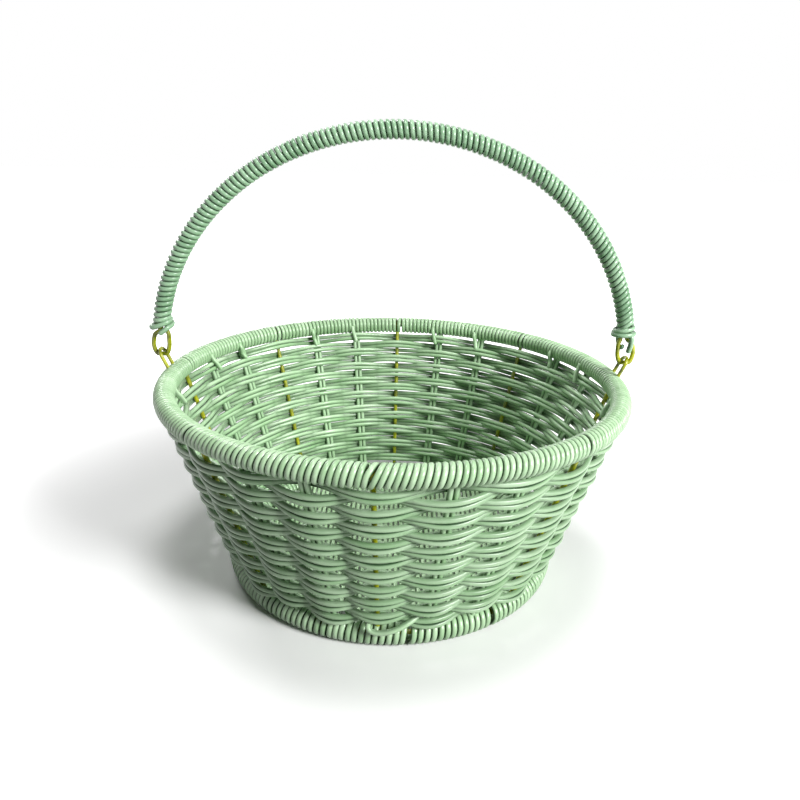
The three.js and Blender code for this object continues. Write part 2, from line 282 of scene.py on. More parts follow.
def pair_shade(sides, partner, seam, edge):
    """Flank shade for one strand of a pair: seam on the flank that touches its partner, which lies across
    the strand where partner is 1 and the other way where it is -1, and edge on the free flank."""
    return flank_shade(sides, seam, edge, 4) if partner > 0 else flank_shade(sides, edge, seam, 4)


# %% [markdown]
# ## Materials built from shared groups
#
# A node group is to a material what a function is to a script. The plastic strand has one surface wherever it
# is used: fine lines along it from the die that it was pressed through, a slightly different green on each
# strand, and a faint mottle. The lacquer on the wire has its own. Each group puts out a colour, a roughness
# and a normal, and the materials plug these into a shader of their own.

# %% Helpers for node trees
def add_node(tree, kind, values=None, **settings):
    """A node of one kind, with its settings, and with its input sockets set by name or number."""
    node = tree.nodes.new(kind)
    for key, value in settings.items():
        setattr(node, key, value)
    for key, value in (values or {}).items():
        node.inputs[key].default_value = value
    return node


def plug(tree, value, socket):
    """Links a value that is a socket to an input, or writes a plain value into it."""
    if isinstance(value, bpy.types.NodeSocket):
        tree.links.new(value, socket)
    else:
        socket.default_value = value


def maths(tree, operation, *values):
    """A Math node: each value is a number or a socket. Gives back its output socket."""
    node = add_node(tree, "ShaderNodeMath", operation=operation)
    for index, value in enumerate(values):
        plug(tree, value, node.inputs[index])
    return node.outputs[0]


def mix_colours(tree, share, first, second):
    """A Mix node for colours: first and second are colours or sockets. Gives back its output socket."""
    node = add_node(tree, "ShaderNodeMix", data_type="RGBA")
    for key, value in [("Factor", share), (6, first), (7, second)]:  # 6 and 7 are its two colours
        plug(tree, value, node.inputs[key])
    return node.outputs[2]


def new_group(name, inputs, outputs):
    """A shader node group with named sockets. inputs has (kind, default) and outputs has kind."""
    group = bpy.data.node_groups.new(name, "ShaderNodeTree")
    for label, (kind, default) in inputs.items():
        socket = group.interface.new_socket(label, in_out="INPUT", socket_type="NodeSocket" + kind)
        socket.default_value = default
    for label, kind in outputs.items():
        group.interface.new_socket(label, in_out="OUTPUT", socket_type="NodeSocket" + kind)
    return group, group.nodes.new("NodeGroupInput"), group.nodes.new("NodeGroupOutput")


def colour(red, green, blue):
    """A colour with full opacity, in linear values."""
    return (red, green, blue, 1.0)


# %% [markdown]
# ### The surface of the plastic strand
#
# A texture that follows the strand needs the strand's own UV map, where u runs along it and v goes once
# round. A noise read straight from v would show a seam where v jumps from 1 back to 0. So v is turned into a
# point on a circle first, by its cosine and sine, and the noise is read there: the circle has no seam. Along
# the strand the noise changes much more slowly than round it, and so it draws lines.

# %% Group: pressed strand
strand_group, group_in, group_out = new_group(
    "Pressed strand",
    {
        "Deep": ("Color", colour(0.2, 0.4, 0.2)),
        "Pale": ("Color", colour(0.5, 0.7, 0.5)),
        "Tone range": ("Float", 0.5),
        "Roughness": ("Float", 0.4),
        "Line depth": ("Float", 0.02 * mm),
        "Groove": ("Color", colour(0.02, 0.06, 0.02)),
    },
    {"Color": "Color", "Roughness": "Float", "Normal": "Vector"},
)
links = strand_group.links
uv_map = add_node(strand_group, "ShaderNodeUVMap", uv_map="strand")
split = add_node(strand_group, "ShaderNodeSeparateXYZ")
links.new(uv_map.outputs["UV"], split.inputs[0])
turn = maths(strand_group, "MULTIPLY", split.outputs["Y"], 2 * math.pi)
circle = add_node(strand_group, "ShaderNodeCombineXYZ")
links.new(maths(strand_group, "COSINE", turn), circle.inputs["X"])
links.new(maths(strand_group, "SINE", turn), circle.inputs["Y"])
links.new(maths(strand_group, "MULTIPLY", split.outputs["X"], 4.0), circle.inputs["Z"])
die_lines = add_node(strand_group, "ShaderNodeTexNoise", {"Scale": 5.0, "Detail": 3.0, "Roughness": 0.65})
links.new(circle.outputs[0], die_lines.inputs["Vector"])
position = add_node(strand_group, "ShaderNodeTexCoord")
mottle = add_node(strand_group, "ShaderNodeTexNoise", {"Scale": 110.0, "Detail": 4.0, "Roughness": 0.6})
links.new(position.outputs["Object"], mottle.inputs["Vector"])
print("die lines and mottle:", len(strand_group.nodes), "nodes")

# %% [markdown]
# The green runs from deep to pale. Its place between the two starts in the middle, and the strand's tone, the
# mottle and the die lines each move it a little. The painted shade comes last, over all of these: a dark
# green, as deep as the shade attribute says.

# %% Colour, roughness and relief of the strand
tone = add_node(strand_group, "ShaderNodeAttribute", attribute_name="tone")
toned = maths(strand_group, "MULTIPLY", tone.outputs["Fac"], group_in.outputs["Tone range"])
uneven = maths(strand_group, "MULTIPLY_ADD", mottle.outputs["Fac"], 0.5, -0.25)
streaks = maths(strand_group, "MULTIPLY_ADD", die_lines.outputs["Fac"], 0.4, -0.2)
paleness = maths(strand_group, "ADD", maths(strand_group, "ADD", toned, 0.5),
                 maths(strand_group, "ADD", uneven, streaks))
clamped = add_node(strand_group, "ShaderNodeClamp")
links.new(paleness, clamped.inputs[0])
plain = mix_colours(strand_group, clamped.outputs[0], group_in.outputs["Deep"], group_in.outputs["Pale"])
# painted shade: the shade attribute mixes the colour towards a dark green in the seams and behind other
# strands
shade = add_node(strand_group, "ShaderNodeAttribute", attribute_name="shade")
links.new(mix_colours(strand_group, shade.outputs["Fac"], plain, group_in.outputs["Groove"]),
          group_out.inputs["Color"])
rougher = maths(strand_group, "MULTIPLY_ADD", die_lines.outputs["Fac"], 0.16, -0.08)
links.new(maths(strand_group, "ADD", rougher, group_in.outputs["Roughness"]), group_out.inputs["Roughness"])
bump = add_node(strand_group, "ShaderNodeBump", {"Strength": 1.0})
links.new(group_in.outputs["Line depth"], bump.inputs["Distance"])
links.new(die_lines.outputs["Fac"], bump.inputs["Height"])
links.new(bump.outputs[0], group_out.inputs["Normal"])
print("whole strand group:", len(strand_group.nodes), "nodes")

# %% [markdown]
# ### The lacquer on the wire
#
# The wire is dipped, so the lacquer is thick in some places, where it looks darker and more olive, and thin
# in others, where the bright ground shows through. A painted picture could show that, but a soft noise in the
# object's own space does it on every wire at once, and without a seam.

# %% Group: dipped lacquer
lacquer_group, group_in, group_out = new_group(
    "Dipped lacquer",
    {
        "Thin": ("Color", colour(0.6, 0.65, 0.05)),
        "Thick": ("Color", colour(0.2, 0.22, 0.02)),
        "Roughness": ("Float", 0.25),
        "Run depth": ("Float", 0.1 * mm),
    },
    {"Color": "Color", "Roughness": "Float", "Normal": "Vector"},
)
links = lacquer_group.links
position = add_node(lacquer_group, "ShaderNodeTexCoord")
runs = add_node(lacquer_group, "ShaderNodeTexNoise", {"Scale": 190.0, "Detail": 3.0, "Roughness": 0.55})
specks = add_node(lacquer_group, "ShaderNodeTexNoise", {"Scale": 900.0, "Detail": 2.0})
links.new(position.outputs["Object"], runs.inputs["Vector"])
links.new(position.outputs["Object"], specks.inputs["Vector"])
thick = add_node(lacquer_group, "ShaderNodeMapRange", {"From Min": 0.35, "From Max": 0.68})
links.new(runs.outputs["Fac"], thick.inputs["Value"])
links.new(mix_colours(lacquer_group, thick.outputs[0], group_in.outputs["Thin"], group_in.outputs["Thick"]),
          group_out.inputs["Color"])
uneven = maths(lacquer_group, "MULTIPLY_ADD", specks.outputs["Fac"], 0.3, -0.15)
links.new(maths(lacquer_group, "ADD", uneven, group_in.outputs["Roughness"]), group_out.inputs["Roughness"])
bump = add_node(lacquer_group, "ShaderNodeBump", {"Strength": 0.6})
links.new(group_in.outputs["Run depth"], bump.inputs["Distance"])
links.new(runs.outputs["Fac"], bump.inputs["Height"])
links.new(bump.outputs[0], group_out.inputs["Normal"])
print("lacquer group:", len(lacquer_group.nodes), "nodes")

# %% [markdown]
# ### Four greens and a lacquer
#
# The strand is one plastic, but it doesn't look the same all over the basket: the wrappings are a little
# darker than the woven wall, and the handle is darker still. The floor's material is the palest, and that is
# painted light: it stands in for the strong light from above on the floor. One material with a picture for
# each region could hold that. Four materials with the same group inside are easier to change. The green
# varies between Deep and Pale, and the third colour is painted shade, a dark green that is laid into the
# seams and onto the strands behind others.

# %% Materials from the groups
def surface_material(name, group, values, **shader_values):
    """A material whose Principled shader takes colour, roughness and normal from a group. What is the same
    all over, such as the coat, is set on the shader itself."""
    material = bpy.data.materials.new(name)
    material.use_nodes = True
    tree = material.node_tree
    shader = tree.nodes["Principled BSDF"]
    for key, value in shader_values.items():
        shader.inputs[key.replace("_", " ")].default_value = value
    pattern = add_node(tree, "ShaderNodeGroup", values, node_tree=group)
    for output, socket in [("Color", "Base Color"), ("Roughness", "Roughness"), ("Normal", "Normal")]:
        tree.links.new(pattern.outputs[output], shader.inputs[socket])
    return material


# painted shade colours, for the seams and for the strands that lie behind others
wall_painted_shade = colour(0.006, 0.04, 0.008)
handle_painted_shade = colour(0.004, 0.03, 0.008)
woven_plastic = surface_material(
    "woven plastic", strand_group,
    {"Deep": colour(0.2, 0.44, 0.16), "Pale": colour(0.72, 0.92, 0.66), "Groove": wall_painted_shade,
     "Tone range": 0.18, "Roughness": 0.28}, Specular_IOR_Level=0.45)
wound_plastic = surface_material(
    "wound plastic", strand_group,
    {"Deep": colour(0.26, 0.46, 0.22), "Pale": colour(0.6, 0.82, 0.54), "Groove": wall_painted_shade,
     "Tone range": 0.26, "Roughness": 0.28}, Specular_IOR_Level=0.65)
# the floor's copy of the green is paler: painted light, for the strong light from above on the floor
floor_plastic_painted_light = surface_material(
    "floor plastic", strand_group,
    {"Deep": colour(0.36, 0.58, 0.3), "Pale": colour(0.72, 0.93, 0.65), "Groove": wall_painted_shade,
     "Tone range": 0.3, "Roughness": 0.28}, Specular_IOR_Level=0.65)
handle_plastic = surface_material(
    "handle plastic", strand_group,
    {"Deep": colour(0.13, 0.3, 0.14), "Pale": colour(0.45, 0.68, 0.45), "Groove": handle_painted_shade,
     "Tone range": 0.26, "Roughness": 0.28}, Specular_IOR_Level=0.65)
wire_lacquer = surface_material(
    "wire lacquer", lacquer_group,
    {"Thin": colour(0.5, 0.52, 0.008), "Thick": colour(0.13, 0.16, 0.002), "Roughness": 0.3},
    Coat_Weight=0.2, Coat_Roughness=0.1)
print("materials:", ", ".join(sorted(material.name for material in bpy.data.materials if material.use_nodes)))

# %% [markdown]
# ## Where things lie on the wall
#
# The wall is a cone, so a place on it is given by three numbers: the angle round the basket, the distance up
# the slope from the base hoop, and the distance out of the wall. Every strand of the wall is a line in these
# three numbers, which is far simpler than the same line in X, Y and Z.

# %% Points on the leaning wall
def wall_outward(angle):
    """Direction straight out of the wall: level outwards, turned down by the lean."""
    return np.stack([np.cos(angle) * math.cos(wall_lean), np.sin(angle) * math.cos(wall_lean),
                     np.full_like(angle, -math.sin(wall_lean))], axis=-1)


def wall_point(angle, up, out):
    """Point at an angle round the wall, a distance up its slope and a distance out of it: the radius grows
    by up * sin(lean) + out * cos(lean), and the height by up * cos(lean) - out * sin(lean)."""
    radius = base_radius + up * math.sin(wall_lean) + out * math.cos(wall_lean)
    height = base_height + up * math.cos(wall_lean) - out * math.sin(wall_lean)
    return np.stack(np.broadcast_arrays(radius * np.cos(angle), radius * np.sin(angle), height), axis=-1)


def sideways(angle):
    """Level direction along the wall, towards larger angles."""
    return np.stack(np.broadcast_arrays(-np.sin(angle), np.cos(angle), 0.0), axis=-1)


front = rib_angles[front_rib]
print("the front rib's middle:", wall_point(front, wall_length / 2, 0.0).round(4))

# %% [markdown]
# ## The woven rows
#
# Each row is a pair of strands that swings outside one upright and inside the next, and the row below does
# the opposite. The swing is a cosine of the number of uprights passed, which is also the shape that a bent
# strand takes by itself. A hand-woven row is never exact, so each strand also wanders a little. The wander is
# a sum of slow waves that fit a whole number of times round the basket, so that the strand closes on itself.

# %% The line of a row
steps_per_pass = 16
slowest_wave, fastest_wave = 3, 14  # periods of the wander round the basket


def wander(rng, passed, size):
    """Sum of waves with slowest_wave to fastest_wave periods round the basket, random in phase and size."""
    periods = np.arange(slowest_wave, fastest_wave + 1)
    phases = rng.uniform(0, 2 * math.pi, len(periods))
    sizes = rng.normal(0, 1, len(periods)) * size / math.sqrt(len(periods))
    waves = np.sin(passed[:, None] * periods[None, :] * 2 * math.pi / upright_count + phases)
    return waves @ sizes


def row_height(name):
    """Distance of a row up the wall from the base hoop, from the middle of its box."""
    low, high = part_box(name)
    return ((low.z + high.z) / 2 - base_height) / math.cos(wall_lean)


print("rows from", round(row_height(f"woven_row_{row_count:02d}"), 4), "m to",
      round(row_height("woven_row_01"), 4), "m up the wall")

# %% [markdown]
# The next sizes say how a row lies: how far it swings, how its two strands are pressed and tilted where they
# pass an upright, and how much one strand differs from the next.

# %% Sizes of the weave
weave_offset = 2.9 * mm  # how far a row swings out of the wall's middle and back into it
pair_spacing = 2.5 * mm  # between the two strands of a row, up the wall
row_dip = 0.35 * mm  # an outside pass hangs this much lower than an inside one
pass_width = 2.75 * mm  # width of the strand where it is pressed against an upright
pass_spacing = 2.72 * mm  # between the two strands there
row_tilt = 0.4 * mm  # the lower strand of an outside pass stands out further, and the upper one less
inside_tilt = 0.3  # an inside pass tilts the other way by this share of it
row_wander = 0.25 * mm  # how far a whole row strays up and down
swing_wander = 0.05  # by what share its swing varies
strand_wander_up, strand_wander_out = 0.16 * mm, 0.14 * mm  # how far one strand strays on top of that
row_tones, tone_wander = 0.7, 0.4  # how far the green varies from strand to strand, and along one
top_row_lift = 1.1 * mm  # row 1, the last one woven, lies close under the rim at the left back
top_row_middle = math.radians(135)
top_row_reach = math.radians(75)
print("a row swings by", round(2 * weave_offset / strand_thickness, 2), "strands in all")

# %% [markdown]
# A strand is darkest where it passes behind an upright or another strand. The lamps' own shadows give part of
# that, and a shade written into the mesh gives the rest. Light baked from a render could do it, but it would
# fix the lamps to the basket. This shade depends only on how the strands lie and on the side from which one
# is seen: section angle 0 faces out of the wall, and 90 degrees down it.

# %% Shade on a row
row_sides = 14
row_section = np.arange(row_sides) * 2 * math.pi / row_sides
seam_shade, row_edge_shade = 1.0, 0.5  # between the two strands of a row, and between two rows
behind_shade = 0.95  # on a strand that passes inside, seen from outside
behind_shade_inside = 0.6  # on a strand that passes outside, seen from inside
crossing_shade = 0.4  # where a pair comes through between two uprights
slope_shade = 0.45  # on the slopes that face little light: the upper one outside, the lower one inside
upper_slope, lower_slope = math.radians(-70), math.radians(120)
hidden = np.where(np.cos(row_section) > 0, behind_shade, behind_shade_inside)
sloped = slope_shade * (np.clip(np.cos(row_section - upper_slope), 0, 1) ** 2
                        + np.clip(np.cos(row_section - lower_slope), 0, 1) ** 2)


def row_shade(swing, side):
    """The deepest of four shades at each point of a row's strand: the flanks, the slopes, the passes behind
    an upright, by -swing * cos(a), and the crossings, by (1 - |swing|) squared."""
    flanks = pair_shade(row_sides, side, seam_shade, row_edge_shade)
    behind = hidden * np.clip(-swing[:, None] * np.cos(row_section), 0, 1)
    crossing = crossing_shade * (1 - np.abs(swing[:, None])) ** 2
    return np.maximum(np.maximum(flanks, sloped), np.maximum(behind, crossing))


print("slopes shaded by", sloped.round(2))

# %% [markdown]
# Now the rows can be laid. Row 1 is the top one. It is lifted at the left back, where it lies close under the
# rim. All random numbers come from a seeded generator, so every run lays the same basket.

# %% Rows
rng = np.random.default_rng(11)
passed = np.arange(steps_per_pass * upright_count) / steps_per_pass
row_angle = np.interp(passed, np.arange(upright_count + 1), closed_angles)
row_faces = 0
for index in range(row_count):
    name = f"woven_row_{index + 1:02d}"
    swing = np.cos(math.pi * (passed + index))
    middle = row_height(name) - row_dip * swing + wander(rng, passed, row_wander)
    strength = 1 + wander(rng, passed, swing_wander)
    spacing = pair_spacing + (pass_spacing - pair_spacing) * swing ** 2
    width = strand_thickness + (pass_width - strand_thickness) * swing ** 2
    tilt = row_tilt * np.clip(swing, -inside_tilt, 1)
    if index == 0:
        away = np.angle(np.exp(1j * (row_angle - top_row_middle)))
        middle += top_row_lift * np.clip(1 - (away / top_row_reach) ** 2, 0, 1)
    row = Bundle()
    for side in (1, -1):
        up = middle + side * spacing / 2 + wander(rng, passed, strand_wander_up)
        out = swing * weave_offset * strength - side * tilt + wander(rng, passed, strand_wander_out)
        tone = rng.uniform(-row_tones, row_tones) + wander(rng, passed, tone_wander)
        row.add_strand(wall_point(row_angle, up, out), wall_outward(row_angle), strand_thickness, width,
                       sides=row_sides, closed=True, tone=tone, shade=row_shade(swing, side), squareness=2.2)
    row_faces += place_piece(row, f"row_{index + 1:02d}_strands", [name], "basket", woven_plastic)
print(row_count, "rows,", row_faces, "faces")

# %% [markdown]
# ## The stakes and ribs
#
# Every third upright is a wire rib, and between two ribs stand two stakes, each of two strands side by side.
# A rib could be a cylinder, turned into place, but then its object would be turned too. The same strand
# surface along a straight line puts it where it belongs, with its place in its mesh. The top of a rib is bent
# over the rim hoop, and that hook shows in the gaps of the wrapping.

# %% A rib and a stake
hook_radius = 2.5 * mm
hook_thickness = 2 * mm
hook_start, hook_end = math.radians(-70), math.radians(200)
stake_sides = 12
stake_start = base_wrap_radius * 0.6  # a stake's two ends are hidden in the wrappings
stake_end = wall_length - rim_wrap_radius * 0.6
stake_width = strand_thickness * 0.97  # the two strands press on each other
stake_edge_shade = 0.7


def straight_line(angle, start, end, aside, steps):
    """Line up the wall at one angle, moved sideways by a distance."""
    up = np.linspace(start, end, steps)
    return wall_point(np.full(steps, angle), up, 0.0) + aside * sideways(angle)


def add_rib(upright, angle, facing):
    """A straight wire from hoop to hoop, and its hook: a point goes round the rim hoop at the hook's radius,
    hoop + radius * (out * cos(a) + up * sin(a)), from hook_start to hook_end."""
    line = straight_line(angle, 0.0, wall_length, 0.0, 24)
    upright.add_strand(line, facing, wire_thickness, sides=16, squareness=2)
    out = np.array([math.cos(angle), math.sin(angle), 0.0])
    bend = np.linspace(hook_start, hook_end, 24)[:, None]
    around = out * np.cos(bend) + np.array([0.0, 0.0, 1.0]) * np.sin(bend)
    hoop = rim_radius * out + [0, 0, rim_height]
    upright.add_strand(hoop + hook_radius * around, around, hook_thickness, sides=12, squareness=2)


def add_stake(upright, angle, facing, rng):
    """Two straight strands, each moved sideways by half of a strand's thickness."""
    for side in (-1, 1):
        line = straight_line(angle, stake_start, stake_end, side * strand_thickness / 2, 40)
        upright.add_strand(line, facing, strand_thickness, stake_width, sides=stake_sides,
                           tone=rng.uniform(-0.6, 0.8),
                           shade=pair_shade(stake_sides, -side, seam_shade, stake_edge_shade))


# %% Ribs and stakes
rng = np.random.default_rng(23)
for name, angle in zip(upright_names, upright_angles):
    upright = Bundle()
    facing = wall_outward(np.array([angle]))
    if name.startswith("wire_rib_"):
        add_rib(upright, angle, facing)
        place_piece(upright, name.replace("wire_rib", "rib_wire"), [name], "basket",
                    wire_lacquer)
    else:
        add_stake(upright, angle, facing, rng)
        place_piece(upright, name.replace("strand_stake", "stake_pair"), [name], "basket",
                    woven_plastic)
print(rib_count, "ribs and", stake_count, "stakes")

# %% [markdown]
# The maker folds each stake over the rim hoop before the rim is wrapped. The cut ends come out under the
# wrapping on the inside, a little to one side of their stake, and lie over the top row or behind it. Only
# their last stretch is seen, so only that is made, as a smooth curve through four points.

# %% A smooth line through points
def smooth_line(points, steps):
    """A Catmull-Rom curve through given points: between two points it is the cubic whose slope at each point
    is half the way from the point before to the point after."""
    points = np.asarray(points, float)
    before = np.concatenate([[2 * points[0] - points[1]], points[:-1]])
    after = np.concatenate([points[1:], [2 * points[-1] - points[-2]]])
    slope = (after - before) / 2
    share = np.linspace(0, 1, steps, endpoint=False)[None, :, None]
    start, end = points[:-1, None, :], points[1:, None, :]
    curve = ((2 * share ** 3 - 3 * share ** 2 + 1) * start + (share ** 3 - 2 * share ** 2 + share)
             * slope[:-1, None, :] + (3 * share ** 2 - 2 * share ** 3) * end
             + (share ** 3 - share ** 2) * slope[1:, None, :])
    return np.concatenate([curve.reshape(-1, points.shape[1]), points[-1:]])


# %% Folded ends of the stakes
rng = np.random.default_rng(41)
over_depth = 5.4 * mm  # how far inside the wall an end lies over a top row that passes inside its stake
behind_depth = 3 * mm  # and behind one that passes outside it
aside_shares = np.array([1.0, 0.95, 0.75, 0.45])  # an end nears its stake again on its way down
stake_ends = Bundle()
for number, (name, angle) in enumerate(zip(upright_names, upright_angles)):
    if name.startswith("wire_rib_"):
        continue
    row_inside = number % 2 == 1  # whether row 1, the top one, passes inside this stake
    depth = over_depth if row_inside else behind_depth
    aside = rng.uniform(2.5, 5.5) * mm / rim_radius
    length = rng.uniform(10, 12) * mm
    last_depth = depth + rng.uniform(-0.3, 0.6) * mm
    up = [-1.5 * mm, -4 * mm, -7 * mm, -length]
    out = [-4.2 * mm, -4.5 * mm, -depth, -last_depth]
    turned = angle + aside * aside_shares - rng.uniform(0, 1) * mm / rim_radius
    route = smooth_line(np.column_stack([turned, up, out]), 5)
    line = wall_point(route[:, 0], wall_length + route[:, 1], route[:, 2])
    stake_ends.add_strand(line, wall_outward(route[:, 0]), strand_thickness, tone=rng.uniform(-0.6, 0.6),
                          shade=flank_shade(12, 0.6, 0.6))
faces = place_piece(stake_ends, "stake_folds", [], "basket", woven_plastic)
print(stake_count, "folded ends,", faces, "faces")

# %% [markdown]
# ## Hoops and wrappings
#
# A wrapping is one strand wound round a hoop some hundreds of times. Copies of one ring in a row would look
# like it from afar, but they would have no beginning and all stand alike. So its line is a point that goes
# round the hoop's section while it moves along the hoop. If it moved evenly the turns would stand square to
# the hoop, but the real ones lean, because the winder pulls the strand forwards over the top. So the move
# along the hoop has a second part: forwards over the outer half of each turn and back over the hidden half.

# %% The line of a wound strand
def ring_place(radius, height):
    """A function that gives, for a distance along a ring, the point there and the directions straight out
    and straight up, which span the ring's section."""
    def place(distance):
        angle = distance / radius
        point = np.stack([radius * np.cos(angle), radius * np.sin(angle), np.full_like(angle, height)], -1)
        out = np.stack([np.cos(angle), np.sin(angle), np.zeros_like(angle)], -1)
        return point, out, np.array([0.0, 0.0, 1.0])
    return place


def wound_line(place, distance, turn, radius):
    """Line point = place(distance) + radius * (out * cos(turn) + rise * sin(turn)), which faces outwards."""
    point, out, rise = place(distance)
    facing = out * np.cos(turn)[:, None] + rise * np.sin(turn)[:, None]
    return point + facing * radius, facing


def turn_places(rng, count, length, variation, gaps, gap_width):
    """Distance along the hoop at each whole turn. The spacing varies a little from turn to turn, and is
    wider at each of the gaps, which are shares of the length. The whole is scaled to the length."""
    spacing = 1 + rng.normal(0, variation, count)
    pitch = length / count
    for gap in gaps:
        spacing[int(gap * count) % count] += gap_width / pitch
    return np.concatenate([[0.0], np.cumsum(spacing)]) * length / spacing.sum()


# %% One wrapping round one hoop
steps_per_turn = 18
wrap_sides = 14
lean_start = math.radians(27)  # where round the section a turn starts to lean forwards


def wrap_hoop(name, node, seed, pitch, variation, gaps, gap_width, lean, width, squareness):
    """Winds a strand round the hoop of a node: turn k lies at its place along the hoop, plus lean * sin(turn
    - lean_start). lean is a function of the number of turns so far and the number in all."""
    rng = np.random.default_rng(seed)
    radius, height, wrap_radius = ring_size(node)
    length = 2 * math.pi * radius
    count = round(length / pitch)
    places = turn_places(rng, count, length, variation, gaps, gap_width)
    turns = np.arange(count * steps_per_turn) / steps_per_turn
    turn = 2 * math.pi * turns
    distance = np.interp(turns, np.arange(count + 1), places) + lean(turns, count) * np.sin(turn - lean_start)
    tone = np.interp(turns, np.arange(count), rng.uniform(-1, 1, count), period=count)
    line, facing = wound_line(ring_place(radius, height), distance, turn, wrap_radius - strand_thickness / 2)
    wrapping = Bundle()
    wrapping.add_strand(line, facing, strand_thickness, width, sides=wrap_sides, closed=True, tone=tone,
                        shade=flank_shade(wrap_sides, seam_shade, seam_shade), squareness=squareness)
    faces = place_piece(wrapping, name, [node], "basket", wound_plastic)
    print(name, "has", count, "turns and", faces, "faces")


# %% [markdown]
# The rim's wrapping opens a little at each rib, where the hook under it takes up room. At the front rib it
# was begun afresh, and there the turns lean a lot, and less and less as they go on.

# %% Rim wrapping
rib_shares = [(angle % (2 * math.pi)) / (2 * math.pi) for angle in rib_angles]
plain_lean, join_lean = 0.7 * mm, 1.25 * mm
join_turns = 5  # number of turns in which the lean at the join falls to about a third


def rim_lean(turns, count):
    """Lean = plain lean + join lean * exp(-turns since the join / join turns)."""
    after_join = (turns - rib_shares[front_rib] * count) % count
    return plain_lean + join_lean * np.exp(-after_join / join_turns)


wrap_hoop("rim_wrapping", "rim_wrap", 5, pitch=2.75 * mm, variation=0.03, gaps=rib_shares, gap_width=1.3 * mm,
          lean=rim_lean, width=2.6 * mm, squareness=2.4)

# %% [markdown]
# The base's wrapping is coarser: its turns are wider and stand nearly square to the hoop, and the wire shows
# in two gaps near the front.

# %% Base wrapping
base_gaps = [math.radians(277) / (2 * math.pi), math.radians(304) / (2 * math.pi)]


def base_lean(turns, count):
    """The same small lean all the way round."""
    return 0.15 * mm


wrap_hoop("base_wrapping", "base_wrap", 6, pitch=3.1 * mm, variation=0.06, gaps=base_gaps, gap_width=1.6 * mm,
          lean=base_lean, width=2.85 * mm, squareness=2.6)

# %% [markdown]
# At the front the strand of the lowest row was started afresh. Its end comes out from behind the rib, turns
# down over the base wrapping and runs into the row. Like the folded ends, it is a smooth curve through listed
# points, because no rule gives the way in which a loose end lies.

# %% End of the lowest row
curl_places = np.array([  # along the wall from the front rib, up it and out of it, in mm
    (-2.0, 13.0, 1.5), (-3.4, 11.4, 3.2), (-3.5, 9.6, 4.8), (-1.6, 8.4, 5.8), (2.0, 8.4, 6.2),
    (6.5, 9.8, 6.0), (11.0, 11.2, 4.6), (15.0, 12.0, 2.4), (18.0, 12.4, 0.4),
]) * mm
curl_angle = rib_angles[front_rib] + curl_places[:, 0] / base_radius
route = smooth_line(np.column_stack([curl_angle, curl_places[:, 1:]]), 8)
curl = Bundle()
curl.add_strand(wall_point(route[:, 0], route[:, 1], route[:, 2]), wall_outward(route[:, 0]),
                strand_thickness, tone=0.4, shade=flank_shade(12, 0.5, 0.5))
faces = place_piece(curl, "row_start_curl", [], "basket", woven_plastic)
print("curl at the front,", faces, "faces")

# %% [markdown]
# The hoops are hidden but for the gaps in their wrappings, and the three floor wires lie under the floor
# strand. A torus and three cylinders would do, but the strand surface with a round section makes them too.

# %% Hoops and floor wires
for name, radius, height in [("rim_hoop", rim_radius, rim_height), ("base_hoop", base_radius, base_height)]:
    around = np.arange(160) / 160 * 2 * math.pi * radius
    line, facing, _ = ring_place(radius, height)(around)
    hoop = Bundle()
    hoop.add_strand(line, facing, wire_thickness, sides=16, closed=True, squareness=2)
    place_piece(hoop, name + "_wire", [name], "basket", wire_lacquer)

floor_wires = sorted(name for name in frame["nodes"] if name.startswith("floor_wire_"))
floor_wire_places = []
for name in floor_wires:
    low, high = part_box(name)
    y = (low.y + high.y) / 2
    x = np.linspace(low.x, high.x, 40)
    line = np.stack([x, np.full_like(x, y), np.full_like(x, base_height)], -1)
    wire = Bundle()
    wire.add_strand(line, np.array([0.0, 0.0, 1.0]), wire_thickness, sides=16, squareness=2)
    place_piece(wire, name.replace("floor_wire", "floor_rod"), [name], "basket", wire_lacquer)
    floor_wire_places.append(y)
print("floor wires at y =", np.round(floor_wire_places, 4))

# %% [markdown]
# ## The floor
#
# One strand is laid to and fro from front to back over the floor wires, with a narrow slot between two runs.
# It is hardly pulled tight, so a run sags a little between the wires and strays a little to the side. Each
# run is a stretch of points from front to back, and each turn is half a circle. Joined end to end they are
# one long line, and so the floor is a single strand, as on the real basket.

# %% Sizes of the floor
floor_slot = 0.4 * mm
floor_pitch = strand_thickness + floor_slot
floor_low, floor_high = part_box("floor_strand")
floor_height = (floor_low.z + floor_high.z) / 2
last_run = round((floor_high.x - floor_low.x - strand_thickness) / (2 * floor_pitch))
floor_reach = math.hypot(floor_high.y - strand_thickness / 2, floor_pitch)
floor_spacing = floor_wire_places[1] - floor_wire_places[0]
most_sag = 0.35 * mm
run_stray, stray_length = 0.1 * mm, 14 * mm


def run_end(run):
    """How far from the middle a run can go before it leaves the round of the base."""
    return math.sqrt(floor_reach ** 2 - (run * floor_pitch) ** 2)


def floor_run(x, start, end, sag):
    """One run at x from y = start to y = end. Between two wires it hangs down by sag * sin squared, and it
    strays to the side by a slow wave."""
    steps = max(4, round(abs(end - start) / (3 * mm)))
    y = np.linspace(start, end, steps)
    return np.stack([x + run_stray * np.sin(y / stray_length + x / mm), y,
                     floor_height - sag * np.sin(math.pi * y / floor_spacing) ** 2], -1)


print(f"floor strand at height {floor_height:.4f} m, its middle run {2 * run_end(0):.4f} m long")

